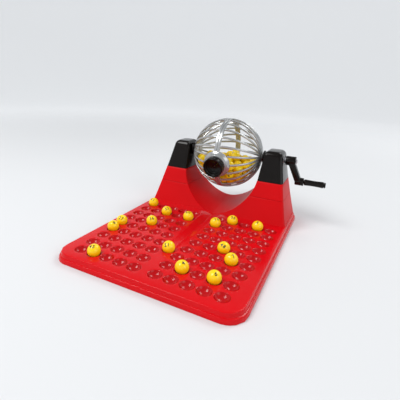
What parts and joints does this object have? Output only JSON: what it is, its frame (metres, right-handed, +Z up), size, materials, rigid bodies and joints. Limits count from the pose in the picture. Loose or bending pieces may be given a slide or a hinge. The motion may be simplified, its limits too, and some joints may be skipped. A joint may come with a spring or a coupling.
{
  "type": "bingo cage",
  "caption": "Round ribbed cage of bingo balls on two uprights, turned by a crank, with an outlet over a valley in a tray of ball seats.",
  "frame": {"origin": "on the table, straight under the middle of the cage", "axes": "+Z up, +X along the cage's axle to the crank, -Y from the cage to the front of the tray"},
  "size_m": [0.2619, 0.319, 0.15],
  "materials": {
    "red_plastic": "glossy moulded red",
    "black_plastic": "glossy moulded black",
    "silver_plastic": "silver-grey moulded plastic, semi-gloss",
    "yellow_plastic": "glossy yellow with small black numbers",
    "steel": "zinc-plated steel"
  },
  "bodies": {
    "stand": {"base_tray": "red_plastic", "chute_cradle": "red_plastic", "upright_left": "red_plastic", "upright_right": "red_plastic", "bearing_cap_left": "black_plastic", "bearing_cap_right": "black_plastic", "bearing_bush_left": "black_plastic", "bearing_bush_right": "black_plastic", "base_screw_1": "steel", "base_screw_2": "steel", "base_screw_3": "steel", "base_screw_4": "steel", "called_ball_01": "yellow_plastic", "called_ball_02": "yellow_plastic", "called_ball_03": "yellow_plastic", "called_ball_04": "yellow_plastic", "called_ball_05": "yellow_plastic", "called_ball_06": "yellow_plastic", "called_ball_07": "yellow_plastic", "called_ball_08": "yellow_plastic", "called_ball_09": "yellow_plastic", "called_ball_10": "yellow_plastic", "called_ball_11": "yellow_plastic", "called_ball_12": "yellow_plastic", "called_ball_13": "yellow_plastic", "called_ball_14": "yellow_plastic", "called_ball_15": "yellow_plastic"},
    "cage": {"cage_half_left": "silver_plastic", "cage_half_right": "silver_plastic", "outlet_collar": "silver_plastic", "outlet_tube": "black_plastic", "axle_left": "steel", "axle_retainer": "steel", "axle_right": "steel", "crank_arm": "black_plastic", "crank_screw": "steel", "crank_handle_pin": "black_plastic"},
    "grip": {"crank_grip": "black_plastic"},
    "heap": {"ball_heap": "yellow_plastic"}
  },
  "joints": [
    {"name": "cage_spin", "type": "hinge", "parent": "stand", "child": "cage", "pos_m": [0, 0, 0.095], "axis": [1, 0, 0], "continuous": true},
    {"name": "grip_spin", "type": "hinge", "parent": "cage", "child": "grip", "pos_m": [0.133, 0, 0.066], "axis": [1, 0, 0], "continuous": true},
    {"name": "heap_swing", "type": "hinge", "parent": "stand", "child": "heap", "pos_m": [0, 0, 0.095], "axis": [1, 0, 0], "range_deg": [-25, 25]}
  ]
}
